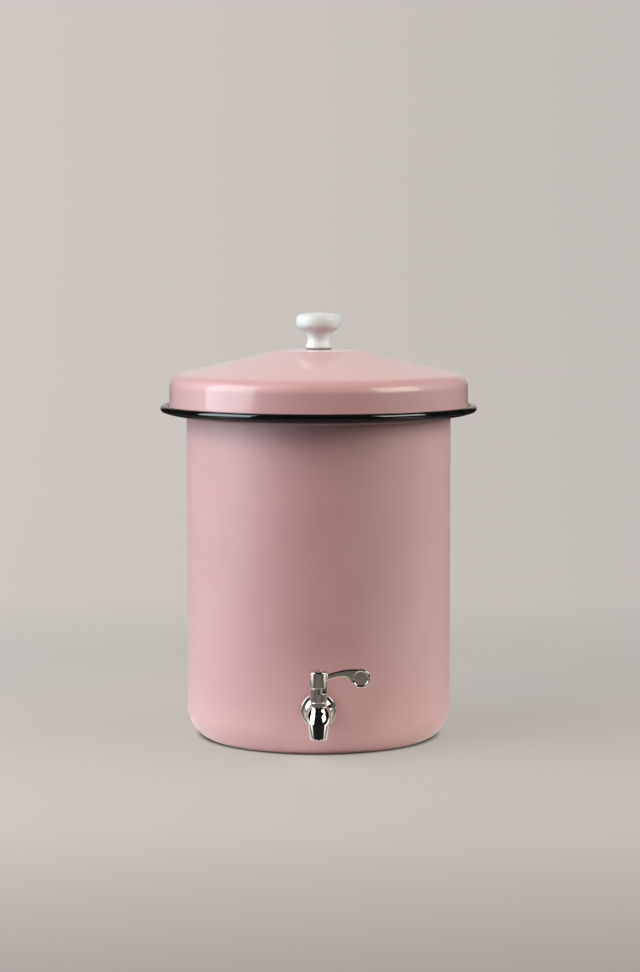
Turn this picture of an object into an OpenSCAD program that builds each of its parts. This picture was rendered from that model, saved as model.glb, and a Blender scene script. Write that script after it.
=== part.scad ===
// Gravity water filter with a tap: an enamelled steel receptacle, a fired clay
// filter pot hung in its mouth, a lid with a ceramic knob, and a quarter-turn
// lever tap. Millimetres, +Z up. The origin is the centre of the base, and the
// tap faces -Y. Every module draws its piece where it sits, with the tap shut.

/* [Receptacle] */
// Outside diameter of the receptacle
body_d = 270; // [230:1:320]
// Thickness of the enamelled sheet
body_wall = 1.2; // [0.8:0.1:2]
// Outside radius of the edge round the base
base_round = 32; // [24:0.5:40]
// Angle at which that edge meets the flat of the base
base_edge = 26; // [10:1:40]
// Height of the ledge that carries the pot and the lid
ledge_h = 331; // [280:1:400]
// Width of the flat ledge, from the wall outwards
ledge_w = 6; // [5:0.5:8]
// Radius of the flare that rises from the ledge
flare_r = 50; // [42:1:60]
// Width of the flare, out to the edge of the rim
flare_w = 20.6; // [18.6:0.2:24]
// Diameter of the rolled rim
roll_d = 6.4; // [5.6:0.2:7.6]
// Thickness of the black bead over the rolled rim
bead_t = 0.4; // [0.2:0.1:0.8]
// Width of that bead under the flare
bead_w = 17; // [8:0.5:18]

/* [Filter pot] */
// Height of the clay pot
pot_h = 205; // [170:1:230]
// Thickness of the clay wall
pot_wall = 14; // [10:0.5:18]
// Thickness of the clay floor
pot_floor = 16; // [12:0.5:22]
// Thickness of the pot's rim
pot_rim_t = 13.5; // [10:0.5:16]
// How much the pot's radius shrinks towards its floor
pot_taper = 14; // [6:1:22]

/* [Lid] */
// Thickness of the lid's sheet
lid_wall = 1; // [0.8:0.1:1.6]
// Height of the lid's upright wall
lid_wall_h = 25.5; // [20:0.1:32]
// Outside radius of the lid's rounded shoulder
shoulder_r = 14.5; // [10:0.5:24]
// Slope of the lid's cone, in degrees
cone_angle = 13.2; // [8:0.1:18]
// Diameter of the top disc
disc_d = 92; // [60:1:120]
// Rise of the top disc from its edge to the knob
disc_rise = 1.7; // [0.5:0.1:3]
// Diameter of the wired hem at the foot
hem_d = 3; // [2.2:0.2:4]

/* [Lid knob] */
// Diameter of the knob
knob_d = 46; // [36:1:56]
// Height of the knob
knob_h = 36.6; // [34:0.2:46]
// Diameter of the knob's foot
knob_foot_d = 26; // [23:0.2:30]
// Diameter of the knob's waist
knob_waist_d = 22.6; // [18:0.2:23]
// Height of the waist over the foot
knob_waist_z = 9.4; // [8:0.2:12]
// Height of the knob's widest ring over the foot
knob_rim_z = 26.6; // [25:0.2:28]
// Height of that ring's rounded edge
knob_rim_h = 12; // [8:0.2:13]
// Thickness of the gasket under the knob
knob_gasket_t = 1.2; // [0.8:0.1:2.5]
// Diameter of the knob's screw
knob_screw_d = 5; // [4:0.5:6]
// Length of the screw under its head
knob_screw_l = 17; // [14:0.5:19]
// Outside diameter of the threaded insert
insert_d = 9; // [8:0.5:11]
// Length of the threaded insert
insert_l = 12; // [9:0.5:14]
// Diameter of the washer on the screw
knob_washer_d = 18; // [14:0.5:24]
// Thickness of that washer
knob_washer_t = 1.2; // [0.8:0.1:2]

/* [Tap fixing] */
// Height of the tap's shank above the base
tap_h = 47; // [44:0.5:70]
// Diameter of the threaded shank
shank_d = 16; // [14:0.5:17]
// Diameter of the water way in the shank
shank_bore = 8; // [6:0.5:8]
// Diameter of the outer flange
flange_d = 35; // [32:0.5:42]
// Thickness of the outer flange
flange_t = 4; // [3:0.5:6]
// Radius of the flange's rounded edge
flange_edge = 1; // [0.6:0.1:1.2]
// Width of the flat ring inside that edge
flange_ring = 3.6; // [2.5:0.1:4]
// Diameter of the rubber gasket outside the wall
out_gasket_d = 32; // [28:0.5:34]
// Thickness of that gasket at its thinnest
out_gasket_t = 2; // [1.5:0.1:4]
// Diameter of the rubber gasket inside the wall
in_gasket_d = 27; // [24:0.5:32]
// Thickness of that gasket at its thickest
in_gasket_t = 2.8; // [2:0.1:4]
// Diameter of the steel washer inside
washer_d = 27; // [24:0.5:32]
// Thickness of that washer
washer_t = 1.5; // [1:0.1:2.5]
// Width of the shank nut across its flats
nut_af = 24; // [21:0.5:27]
// Thickness of the shank nut
nut_t = 8; // [5:0.5:10]
// Length of thread that stands past the nut
thread_past = 5; // [2:0.5:10]

/* [Tap body] */
// Distance from the receptacle's wall to the valve's axis
tap_reach = 30; // [27:0.5:34]
// Diameter of the barrel where it meets the flange
barrel_d = 19; // [18:0.5:22]
// Diameter of the elbow at the valve
elbow_d = 24; // [22:0.5:26]
// Diameter of the spout at its mouth
spout_d = 17; // [15:0.5:19]
// Radius of the elbow's centre line
elbow_r = 14; // [13:0.5:17]
// How far the elbow turns down, in degrees
elbow_turn = 70; // [64:1:80]
// Length of the spout under the elbow
spout_l = 13; // [10:0.5:16]
// Wall of the spout at its mouth
mouth_wall = 2; // [1.5:0.1:2.5]

/* [Valve] */
// Diameter of the bore that holds the plug
valve_bore = 13; // [12:0.5:13.5]
// Depth of the plug's floor under the shank's axis
plug_drop = 7.2; // [6.6:0.1:8]
// Height of the plug's shoulder over the shank's axis
plug_rise = 10; // [9:0.5:12]
// Diameter of the ports in the plug
port_d = 6.6; // [5:0.2:6.6]
// Thickness of the rubber rings on the plug
ring_t = 1.8; // [1.4:0.1:2]
// Thickness of the thrust washer over the plug
thrust_t = 1; // [0.6:0.1:1.6]
// Diameter of the stem
stem_d = 8; // [7.5:0.1:8.5]
// Diameter of the collar
collar_d = 16.4; // [16:0.1:18]
// Height of the collar above the body's boss
collar_h = 13.9; // [11:0.1:18]
// Depth of the collar's thread in the boss
collar_thread = 2.5; // [2:0.1:4]
// Depth of the stop slot in the collar's top
slot_h = 4.9; // [4:0.1:6]
// Diameter of the stop pin
pin_d = 2.4; // [2:0.1:2.8]

/* [Lever] */
// Diameter of the lever's cap
cap_d = 18; // [17:0.5:20]
// Height of the lever's cap
cap_h = 16.4; // [15:0.2:20]
// Bevel round the cap's top
cap_bevel = 1.2; // [0.6:0.1:1.6]
// Side of the square drive on the stem
drive_w = 5.4; // [5:0.1:5.8]
// Depth of the square socket in the cap
socket_h = 10.4; // [8:0.2:11]
// Distance from the valve's axis to the thumb pad's centre
pad_x = 41; // [34:0.5:50]
// Height of the pad's centre over the cap's foot
pad_z = 9.1; // [8:0.1:11]
// Diameter of the thumb pad
pad_d = 18.8; // [16:0.2:22]
// Front-to-back thickness of the lever's arm
arm_t = 6; // [4:0.5:8]
// Height of the arm where it is slimmest
arm_h = 7.8; // [6:0.2:9]
// Depth of the dish in the pad's face
dish_h = 0.7; // [0.3:0.1:1.2]
// Width of the flat ring round that dish
dish_edge = 2.2; // [1:0.2:4]
// Diameter of the lever's screw
lever_screw_d = 3; // [2:0.5:3]
// Diameter of that screw's head
lever_head_d = 7; // [6:0.5:8]
// Height of that head
lever_head_h = 1.9; // [1.4:0.1:2.4]

/* [Clearances] */
// Play under the pot and the lid where they rest
rest_gap = 0.2; // [0.1:0.05:0.3]
// Gap between the lid's hem and the rolled rim
lid_play = 2; // [1:0.1:3.5]
// Gap between the pot's rim and the lid's hem
pot_rim_gap = 4.3; // [3.5:0.1:6]
// Gap between the pot and the receptacle's wall
pot_play = 6; // [4:0.5:10]
// Radial play of the shank in the wall's hole
hole_play = 0.3; // [0.2:0.05:0.6]
// Radial play of washers and gaskets on what they sit on
washer_play = 0.2; // [0.1:0.05:0.3]
// Radial play that stands for a thread
thread_play = 0.05; // [0.02:0.01:0.1]
// Radial play of the turning plug and stem
turn_play = 0.05; // [0.02:0.01:0.08]
// Gap under and over turning faces
face_gap = 0.2; // [0.1:0.05:0.3]
// Play of the stop pin in its slot
pin_play = 0.15; // [0.1:0.05:0.3]

/* [Hidden] */
$fn = 96;
wall_fn = 720;
steps = 8;
eps = 1;

// Receptacle
body_r = body_d / 2;
inner_r = body_r - body_wall;
base_c = [body_r - base_round, base_round * cos(base_edge)];
flat_r = body_r + ledge_w;
rim_r = flat_r + flare_w;
under_z = ledge_h - body_wall;
neck_round = 3;
wall_reach = 8;
flare_c = [flat_r, ledge_h + flare_r];
flare_out = flare_r + body_wall;
roll_r = roll_d / 2;
roll_run = flare_out - roll_r;
roll_a = asin((flare_w - bead_t - roll_r) / roll_run);
roll_c = flare_c + roll_run * [sin(roll_a), -cos(roll_a)];
roll_end = 215;
bead_a = asin((flare_w - bead_w) / flare_out);
bead_end = 145;

// Lid
hem_r = hem_d / 2;
hem_proud = 0.3;
lid_r = rim_r - bead_t - roll_d - lid_play - hem_proud;
hem_c = lid_r + hem_proud - hem_r;
hem_run = flare_r - hem_r - rest_gap;
lid_foot = flare_c[1] - sqrt(pow(hem_run, 2) - pow(hem_c - flat_r, 2)) - hem_r;
shoulder_z = lid_foot + lid_wall_h;
shoulder_c = [lid_r - shoulder_r, shoulder_z];
cone_foot = shoulder_c + shoulder_r * [sin(cone_angle), cos(cone_angle)];
disc_r = disc_d / 2;
disc_z = cone_foot[1] + (cone_foot[0] - disc_r) * tan(cone_angle);
lid_top = disc_z + disc_rise;
lid_hole = knob_screw_d / 2 + washer_play;

// Knob
knob_z = lid_top + knob_gasket_t;
knob_r = knob_d / 2;
knob_foot_r = knob_foot_d / 2;
knob_edge = 3.4;
knob_lip = 2.3;
knob_seat_r = knob_foot_r + 2;
knob_screw_r = knob_screw_d / 2;
knob_head_h = 3;
knob_head_r = 2 * knob_screw_r;
head_bevel = 1;
screw_slot = 1;
knob_washer_z = lid_top - lid_wall - knob_washer_t;
screw_end_room = 2;
insert_hole = max(insert_l, knob_washer_z + knob_screw_l - knob_z) + screw_end_room;

// Filter pot
pot_z = ledge_h + rest_gap;
pot_rim_z = pot_z + pot_rim_t;
pot_bottom = pot_rim_z - pot_h;
pot_rim_r = lid_r + hem_proud - hem_d - pot_rim_gap;
pot_r = inner_r - pot_play;
pot_foot_r = pot_r - pot_taper;
pot_edge = 4;
pot_corner = 9;

// Tap fixing, with lengths measured outwards from the wall
flange_s = out_gasket_t;
barrel_s = flange_s + flange_t;
in_gasket_s = -body_wall - in_gasket_t;
washer_s = in_gasket_s - washer_t;
nut_s = washer_s - nut_t;
shank_s = nut_s - thread_past;
shank_r = shank_d / 2;

// Valve, with heights measured from the base
elbow_lead = 8;
taper_lead = 6;
elbow_start = tap_reach - elbow_lead;
valve_r = valve_bore / 2;
plug_r = valve_r - turn_play;
plug_z = tap_h - plug_drop;
plug_top = tap_h + plug_rise;
port_r = port_d / 2;
seat_z = plug_z - face_gap;
ring_r = ring_t / 2;
ring_seat = 0.1;
ring_mid = plug_r - ring_r;
groove_h = ring_t + 2 * ring_seat;
upper_ring_z = (tap_h + port_r + plug_top) / 2;
lower_ring_z = (tap_h - port_r + plug_z) / 2;
thrust_z = plug_top + face_gap;
collar_foot = thrust_z + thrust_t;
boss_top = collar_foot + collar_thread;
collar_top = boss_top + collar_h;
collar_r = collar_d / 2;
boss_step = 0.4;
stem_r = stem_d / 2;
boss_r = collar_r - boss_step;
slot_z = collar_top - slot_h;
pin_r = pin_d / 2;
pin_z = slot_z + slot_h / 2;
slot_w = pin_r + pin_play;

// Lever
cap_z = collar_top + face_gap;
cap_top = cap_z + cap_h;
cap_r = cap_d / 2;
drive_h = socket_h - face_gap;
head_play = 0.3;
head_z = cap_top - lever_head_h - head_play;
lever_screw_l = 9;
pad_r = pad_d / 2;
arm_lead = 4;
arm_crest = 80;
arm_belly = 38;
arm_fillet = 7;

// Geometry helpers

// Points on an arc about c, with radii rx and ry, from angle a to angle b.
function arc(c, rx, ry, a, b, n = steps) =
  [for (i = [0 : n]) let (t = a + (b - a) * i / n) c + [rx * cos(t), ry * sin(t)]];

// The direction to the left of a path at its point i.
function left_of(path, i) =
  let (d = path[min(i + 1, len(path) - 1)] - path[max(i - 1, 0)])
  [-d[1], d[0]] / norm(d);

// The path moved to its left by t.
function beside(path, t) = [for (i = [0 : len(path) - 1]) path[i] + t * left_of(path, i)];

function backwards(path) = [for (i = [len(path) - 1 : -1 : 0]) path[i]];

// The path without its first point, to go on from where another path ends.
function after(path) = [for (i = [1 : len(path) - 1]) path[i]];

// The outline of a sheet of thickness t that lies to the left of a path.
function sheet(path, t) = concat(path, backwards(beside(path, t)));

module lathe(outline) rotate_extrude() polygon(outline);

module tube(outer, inner, h) difference() {
  cylinder(r = outer, h = h);
  translate([0, 0, -eps]) cylinder(r = inner, h = h + 2 * eps);
}

// The shank's axis: local +Z points out of the wall, from its outer face.
module on_shank() translate([0, -body_r, tap_h]) rotate([90, 0, 0]) children();

// The valve's axis: local +Z points up, from the base.
module on_valve() translate([0, -body_r - tap_reach, 0]) children();

// Receptacle

// The part of the outer face that the bead covers: the flare's underside and
// most of the rolled rim.
bead_path = concat(
  arc(flare_c, flare_out, flare_out, bead_a - 90, roll_a - 90),
  after(arc(roll_c, roll_r, roll_r, roll_a - 90, bead_end, 3 * steps))
);

receptacle_path = concat(
  [[0, 0]],
  arc(base_c, base_round, base_round, base_edge - 90, 0),
  backwards(arc([body_r + neck_round, under_z - neck_round], neck_round, neck_round, 90, 180)),
  arc(flare_c, flare_out, flare_out, -90, bead_a - 90, 2),
  after(bead_path),
  after(arc(roll_c, roll_r, roll_r, bead_end, roll_end))
);

module receptacle() color("pink") difference() {
  lathe(sheet(receptacle_path, body_wall));
  on_shank() translate([0, 0, -wall_reach]) cylinder(r = shank_r + hole_play, h = 2 * wall_reach);
}

module rim_bead() color("black") lathe(sheet(bead_path, -bead_t));

// Filter pot

module filter_pot() color("peru") {
  bore_r = pot_r - pot_wall;
  bore_foot_r = pot_foot_r - pot_wall;
  floor_z = pot_bottom + pot_floor;
  lathe(concat(
    [[0, pot_bottom]],
    arc([pot_foot_r - pot_corner, pot_bottom + pot_corner], pot_corner, pot_corner, -90, 0),
    [[pot_r, pot_z]],
    arc([pot_rim_r - pot_edge, pot_z + pot_edge], pot_edge, pot_edge, -90, 0, 4),
    arc([pot_rim_r - pot_edge, pot_rim_z - pot_edge], pot_edge, pot_edge, 0, 90, 4),
    arc([bore_r + pot_edge, pot_rim_z - pot_edge], pot_edge, pot_edge, 90, 180, 4),
    backwards(arc([bore_foot_r - pot_corner, floor_z + pot_corner], pot_corner, pot_corner, -90, 0)),
    [[0, floor_z]]
  ));
}

// Lid

// The upright wall, the shoulder, the cone and the low dome of the top disc.
lid_path = concat(
  [[lid_r, lid_foot + hem_r]],
  arc(shoulder_c, shoulder_r, shoulder_r, 0, 90 - cone_angle, 2 * steps),
  arc([knob_seat_r, disc_z], disc_r - knob_seat_r, disc_rise, 0, 90, 5),
  [[lid_hole, lid_top]]
);

module lid_shell() color("pink") rotate_extrude() {
  polygon(sheet(lid_path, lid_wall));
  translate([hem_c, lid_foot + hem_r]) circle(r = hem_r);
}

module lid_knob() color("white") translate([0, 0, knob_z]) {
  waist_r = knob_waist_d / 2;
  flare_r = knob_foot_r - waist_r + knob_lip;
  cup_c = [knob_r + knob_lip, knob_waist_z];
  cup_h = knob_rim_z - knob_rim_h / 2 - knob_waist_z;
  brim = [knob_r - knob_edge, knob_rim_z];
  difference() {
    lathe(concat(
      [[0, 0]],
      arc([knob_foot_r - knob_lip / 2, knob_lip / 2], knob_lip / 2, knob_lip / 2, -90, 20, 4),
      backwards(arc([waist_r + flare_r, knob_waist_z], flare_r, knob_waist_z - knob_lip, 180, 230, 4)),
      backwards(arc(cup_c, cup_c[0] - waist_r, cup_h, 118, 180)),
      arc(brim, knob_edge, knob_rim_h / 2, -55, 0, 4),
      arc(brim, knob_edge, knob_h - knob_rim_z - knob_lip, 10, 65, 4),
      arc([0, knob_h - knob_edge], knob_r - knob_lip / 2, knob_edge, 37, 90, 4)
    ));
    translate([0, 0, -eps]) cylinder(d = insert_d, h = insert_hole + eps);
  }
}

module knob_gasket() color("dimgray") translate([0, 0, lid_top])
  tube(knob_foot_r, lid_hole, knob_gasket_t);

module knob_insert() color("goldenrod") translate([0, 0, knob_z])
  tube(insert_d / 2, knob_screw_r + thread_play, insert_l);

module knob_washer() color("silver") translate([0, 0, knob_washer_z])
  tube(knob_washer_d / 2, lid_hole, knob_washer_t);

module knob_screw() color("silver") translate([0, 0, knob_washer_z]) {
  cylinder(r = knob_screw_r, h = knob_screw_l);
  difference() {
    translate([0, 0, -knob_head_h])
      cylinder(r1 = knob_head_r - head_bevel, r2 = knob_head_r, h = knob_head_h);
    translate([-screw_slot / 2, -2 * knob_head_r, -knob_head_h - eps])
      cube([screw_slot, 4 * knob_head_r, screw_slot + eps]);
  }
}

// Tap fixing

module tap_flange() color("silver") on_shank() difference() {
  rim_r = flange_d / 2;
  lathe(concat(
    [[0, flange_s]],
    arc([rim_r - flange_edge, flange_s + flange_edge], flange_edge, flange_edge, -90, 90),
    [[rim_r - flange_ring, flange_s + flange_edge]],
    [[rim_r - flange_ring - flange_edge, flange_s + 2 * flange_edge]],
    [[rim_r - 2 * flange_ring, barrel_s], [0, barrel_s]]
  ));
  translate([0, 0, flange_s - eps]) cylinder(r = shank_r + washer_play, h = flange_t + 2 * eps);
}

// The outer gasket fills the room between the flat flange and the round wall.
module outer_gasket() color("dimgray") difference() {
  on_shank() translate([0, 0, -wall_reach])
    tube(out_gasket_d / 2, shank_r + washer_play, out_gasket_t + wall_reach);
  cylinder(r = body_r, h = ledge_h, $fn = wall_fn);
}

module inner_gasket() color("dimgray") intersection() {
  on_shank() translate([0, 0, in_gasket_s]) tube(in_gasket_d / 2, shank_r + washer_play, wall_reach);
  cylinder(r = inner_r, h = ledge_h, $fn = wall_fn);
}

module inner_washer() color("silver") on_shank() translate([0, 0, washer_s])
  tube(washer_d / 2, shank_r + washer_play, washer_t);

module shank_nut() color("silver") on_shank() translate([0, 0, nut_s]) difference() {
  cylinder(r = nut_af / 2 / cos(30), h = nut_t, $fn = 6);
  translate([0, 0, -eps]) cylinder(r = shank_r + thread_play, h = nut_t + 2 * eps);
}

// Tap body

// The elbow's centre line in the plane through the shank and the valve, as
// [distance from the wall, height, angle turned down, radius of the casting].
elbow_c = [elbow_start, tap_h - elbow_r];
elbow_n = 12;
elbow_len = elbow_r * elbow_turn * PI / 180;
spout_dir = [cos(elbow_turn), -sin(elbow_turn)];
elbow_end = elbow_c + elbow_r * [sin(elbow_turn), cos(elbow_turn)];
mouth = elbow_end + spout_l * spout_dir;
mouth_past = spout_d / 2 / tan(elbow_turn) + eps;
flare_l = 0.8 * spout_l;

// The casting keeps its full radius over the valve and tapers to the mouth.
function casting_r(run) =
  let (u = max(0, run - taper_lead) / (elbow_len + spout_l - taper_lead))
  spout_d / 2 + (elbow_d - spout_d) / 2 * (1 - u * u);

barrel_rings = [for (i = [0 : 6])
  let (t = i / 6, ease = t * t * (3 - 2 * t))
  [barrel_s + (elbow_start - barrel_s) * t, tap_h, 0,
   barrel_d / 2 + (elbow_d - barrel_d) / 2 * ease]];
elbow_rings = [for (i = [1 : elbow_n])
  let (a = elbow_turn * i / elbow_n, p = elbow_c + elbow_r * [sin(a), cos(a)])
  [p[0], p[1], a, casting_r(elbow_len * i / elbow_n)]];

// The rings under the elbow turn on, so that the mouth is cut level.
spout_n = 6;
spout_rings = [for (i = [1 : spout_n])
  let (u = i / spout_n, p = elbow_end + u * spout_l * spout_dir)
  [p[0], p[1], elbow_turn + u * (90 - elbow_turn), casting_r(elbow_len + u * spout_l)]];

// A solid through a list of such rings, each turned square to the centre line.
module sweep(rings, sides = 40) {
  n = len(rings);
  points = [for (g = rings, j = [0 : sides - 1])
    let (a = 360 * j / sides, up = g[3] * cos(a))
    [g[3] * sin(a), -body_r - g[0] - up * sin(g[2]), g[1] + up * cos(g[2])]];
  walls = [for (i = [0 : n - 2], j = [0 : sides - 1])
    let (k = (j + 1) % sides)
    [i * sides + j, i * sides + k, (i + 1) * sides + k, (i + 1) * sides + j]];
  first = [for (j = [sides - 1 : -1 : 0]) j];
  last = [for (j = [0 : sides - 1]) (n - 1) * sides + j];
  polyhedron(points = points, faces = concat(walls, [first, last]));
}

// A round hole between two points of the plane through the shank and the valve.
module water_way(from, to, r1, r2) {
  run = to - from;
  translate([0, -body_r - from[0], from[1]])
    rotate([atan2(run[0], run[1]), 0, 0])
      cylinder(r1 = r1, r2 = r2, h = norm(run));
}

module tap_body() color("gainsboro") difference() {
  union() {
    on_shank() translate([0, 0, shank_s]) cylinder(r = shank_r, h = barrel_s + eps - shank_s);
    sweep(concat(barrel_rings, elbow_rings, spout_rings));
    on_valve() translate([0, 0, tap_h]) cylinder(r = boss_r, h = boss_top - tap_h);
  }
  on_shank() translate([0, 0, shank_s - eps]) cylinder(r = shank_bore / 2, h = tap_reach + eps - shank_s);
  on_valve() translate([0, 0, seat_z]) cylinder(r = valve_r, h = boss_top - seat_z + eps);
  water_way([tap_reach, seat_z + 2], mouth, port_r, port_r);
  water_way(mouth - flare_l * spout_dir, mouth + mouth_past * spout_dir, port_r, spout_d / 2 - mouth_wall);
}

// Valve

module ring_groove(z) translate([0, 0, z - groove_h / 2])
  tube(valve_r + eps, ring_mid - ring_r - ring_seat, groove_h);

// The plug is shut while its side port faces -X.
module valve_plug() color("silver") on_valve() difference() {
  union() {
    translate([0, 0, plug_z]) cylinder(r = plug_r, h = plug_top - plug_z);
    translate([0, 0, plug_top - eps]) cylinder(r = stem_r, h = collar_top - plug_top + eps);
    translate([-drive_w / 2, -drive_w / 2, collar_top - eps]) cube([drive_w, drive_w, drive_h + eps]);
  }
  translate([0, 0, plug_z - eps]) cylinder(r = port_r, h = plug_drop + eps);
  translate([0, 0, tap_h]) sphere(r = port_r);
  translate([0, 0, tap_h]) rotate([0, -90, 0]) cylinder(r = port_r, h = valve_bore);
  ring_groove(upper_ring_z);
  ring_groove(lower_ring_z);
  translate([0, 0, pin_z]) rotate([0, 90, 0]) cylinder(r = pin_r, h = stem_d);
  translate([0, 0, head_z - lever_screw_l - eps])
    cylinder(r = lever_screw_d / 2 + thread_play, h = lever_screw_l + eps);
}

module plug_ring(z) color("dimgray") on_valve() translate([0, 0, z])
  rotate_extrude() translate([ring_mid, 0]) circle(r = ring_r);

module upper_ring() plug_ring(upper_ring_z);
module lower_ring() plug_ring(lower_ring_z);

module thrust_washer() color("white") on_valve() translate([0, 0, thrust_z])
  tube(valve_r - turn_play, stem_r + washer_play, thrust_t);

// The stop slot lets the pin travel from +X to -Y.
module valve_collar() color("silver") on_valve() difference() {
  union() {
    translate([0, 0, boss_top]) cylinder(r = collar_r, h = collar_h);
    translate([0, 0, collar_foot]) cylinder(r = valve_r - thread_play, h = collar_thread + eps);
  }
  translate([0, 0, collar_foot - eps])
    cylinder(r = stem_r + turn_play, h = collar_top - collar_foot + 2 * eps);
  translate([0, 0, slot_z]) rotate([0, 0, -90]) rotate_extrude(angle = 90) square([cap_d, slot_h + eps]);
  for (turn = [0, -90])
    translate([0, 0, slot_z]) rotate([0, 0, turn])
      translate([0, -slot_w, 0]) cube([cap_d, 2 * slot_w, slot_h + eps]);
}

module stop_pin() color("silver") on_valve() translate([0, 0, pin_z]) rotate([0, 90, 0])
  cylinder(r = pin_r, h = collar_r);

// Lever

// The arm's outline, seen from the front with +X to the right, from the cap's
// foot: a long crest, the pad, a tight fillet and a long hollow underside.
module arm_outline() {
  crest = [pad_x - arm_lead, pad_z + pad_r - arm_crest];
  knee = [pad_x - pad_r - arm_fillet, pad_z + pad_r - arm_h];
  hollow = knee - [0, arm_belly];
  crest_a = acos(-(crest[0] - cap_r / 2) / arm_crest);
  hollow_a = acos(-(knee[0] - cap_r / 2) / arm_belly);
  polygon(concat(
    arc(crest, arm_crest, arm_crest, crest_a, 90),
    [[pad_x, pad_z]],
    arc(knee - [0, arm_fillet], arm_fillet, arm_fillet, 0, 90),
    arc(hollow, arm_belly, arm_belly, 90, hollow_a)
  ));
  translate([pad_x, pad_z]) circle(r = pad_r);
}

module lever() color("silver") on_valve() difference() {
  union() {
    translate([0, 0, cap_z]) cylinder(r = cap_r, h = cap_h - cap_bevel);
    translate([0, 0, cap_top - cap_bevel]) cylinder(r1 = cap_r, r2 = cap_r - cap_bevel, h = cap_bevel);
    translate([0, arm_t / 2, cap_z]) rotate([90, 0, 0]) linear_extrude(height = arm_t) arm_outline();
  }
  for (side = [-1, 1])
    translate([pad_x, side * arm_t / 2, cap_z + pad_z]) rotate([90, 0, 0])
      translate([0, 0, -dish_h]) cylinder(r = pad_r - dish_edge, h = 2 * dish_h);
  translate([-drive_w / 2 - turn_play, -drive_w / 2 - turn_play, cap_z - eps])
    cube([drive_w + 2 * turn_play, drive_w + 2 * turn_play, socket_h + eps]);
  translate([0, 0, cap_z]) cylinder(r = lever_screw_d / 2 + thread_play, h = cap_h);
  translate([0, 0, head_z]) cylinder(r = lever_head_d / 2 + head_play, h = cap_h);
}

module lever_screw() color("silver") on_valve() difference() {
  union() {
    translate([0, 0, head_z - lever_screw_l]) cylinder(d = lever_screw_d, h = lever_screw_l + eps);
    translate([0, 0, head_z]) cylinder(d = lever_head_d, h = lever_head_h);
  }
  translate([-lever_head_d, -screw_slot / 2, head_z + lever_head_h - screw_slot])
    cube([2 * lever_head_d, screw_slot, screw_slot + eps]);
}

receptacle();
rim_bead();
filter_pot();
lid_shell();
lid_knob();
knob_gasket();
knob_insert();
knob_washer();
knob_screw();
tap_body();
tap_flange();
outer_gasket();
inner_gasket();
inner_washer();
shank_nut();
valve_plug();
upper_ring();
lower_ring();
thrust_washer();
valve_collar();
stop_pin();
lever();
lever_screw();
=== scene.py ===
"""Gravity water filter with a tap: its looks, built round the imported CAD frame.

Shapes are worked out in millimetres, in the frame's own axes (+Z up, the tap
faces -Y), and turned into metres when a mesh is made.
"""
import math

import bpy
import numpy as np
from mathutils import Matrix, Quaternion, Vector


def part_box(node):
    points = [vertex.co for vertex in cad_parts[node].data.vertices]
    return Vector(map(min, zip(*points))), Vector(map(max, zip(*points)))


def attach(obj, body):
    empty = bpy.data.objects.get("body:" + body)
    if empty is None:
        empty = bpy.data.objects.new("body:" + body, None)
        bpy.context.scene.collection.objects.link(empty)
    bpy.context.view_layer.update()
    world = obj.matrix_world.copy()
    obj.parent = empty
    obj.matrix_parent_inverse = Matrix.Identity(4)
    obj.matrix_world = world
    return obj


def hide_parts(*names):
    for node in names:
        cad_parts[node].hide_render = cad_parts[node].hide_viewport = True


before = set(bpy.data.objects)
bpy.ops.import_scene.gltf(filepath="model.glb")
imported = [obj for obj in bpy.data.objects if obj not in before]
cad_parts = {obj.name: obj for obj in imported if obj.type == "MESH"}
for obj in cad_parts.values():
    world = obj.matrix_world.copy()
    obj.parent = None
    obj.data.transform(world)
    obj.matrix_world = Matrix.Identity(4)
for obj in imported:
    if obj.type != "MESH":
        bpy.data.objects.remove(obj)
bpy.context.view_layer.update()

MM = 0.001


# ---------------------------------------------------------------- sizes, in mm
# In these names R is a radius, Z a height over the base, S a distance out of the
# wall along the shank, T a thickness, H a height, W a width and L a length.
# Driving sizes are those of the CAD model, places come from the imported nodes, and
# the small easings, fillets and grooves belong to this scene alone.

def extent(node):
    """Lowest and highest corner of a CAD node."""
    return [np.array(corner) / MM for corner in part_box(node)]


# Receptacle and its rim, with angles in degrees. The base's round meets the flat at
# BASE_EDGE. A point on the flat, at BASE_INSET from the round's centre, keeps the
# inner face level there.
BODY_R = 135.0
SHEET = 1.2
BASE_ROUND = 32.0
BASE_EDGE = 26.0
BASE_INSET = 20.0
NECK_ROUND = 3.0
LEDGE_Z = 331.0
UNDER_Z = LEDGE_Z - SHEET
FLAT_R = 141.0
FLARE_R = 50.0
FLARE_W = extent("rim_bead")[1][0] - FLAT_R
FLARE_OUT = FLARE_R + SHEET
FLARE_C = (FLAT_R, LEDGE_Z + FLARE_R)
ROLL_R = 3.2
ROLL_END = 215
ROLL_STEPS = 40
WALL_SIDES = 384

# The bead covers the flare from BEAD_START and the roll up to BEAD_END. It thins
# over its last points at both edges, and changes from dull to glossy at one point.
BEAD_T = 0.4
BEAD_W = 17.0
BEAD_END = 145
BEAD_EDGE_POINTS = 3
BEAD_EDGE_SHARE = 0.1
BEAD_SPLIT = 20
BEAD_START = math.degrees(math.asin((FLARE_W - BEAD_W) / FLARE_OUT))
ROLL_START = math.degrees(math.asin((FLARE_W - BEAD_T - ROLL_R) / (FLARE_OUT - ROLL_R)))

# Lid
lid_lo, lid_hi = extent("lid_shell")
HEM_R = 1.5
HEM_PROUD = 0.3
LID_WALL = 1.0
LID_WALL_H = 25.5
LID_R = lid_hi[0] - HEM_PROUD
LID_FOOT = lid_lo[2]
LID_TOP = lid_hi[2]
SHOULDER_R = 14.5
SHOULDER_Z = LID_FOOT + LID_WALL_H
CONE_ANGLE = 13.2
DISC_R = 46.0
DISC_RISE = 1.7
DISC_Z = LID_TOP - DISC_RISE
SEAT_R = 15.0
LID_HOLE_R = 2.7

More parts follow.
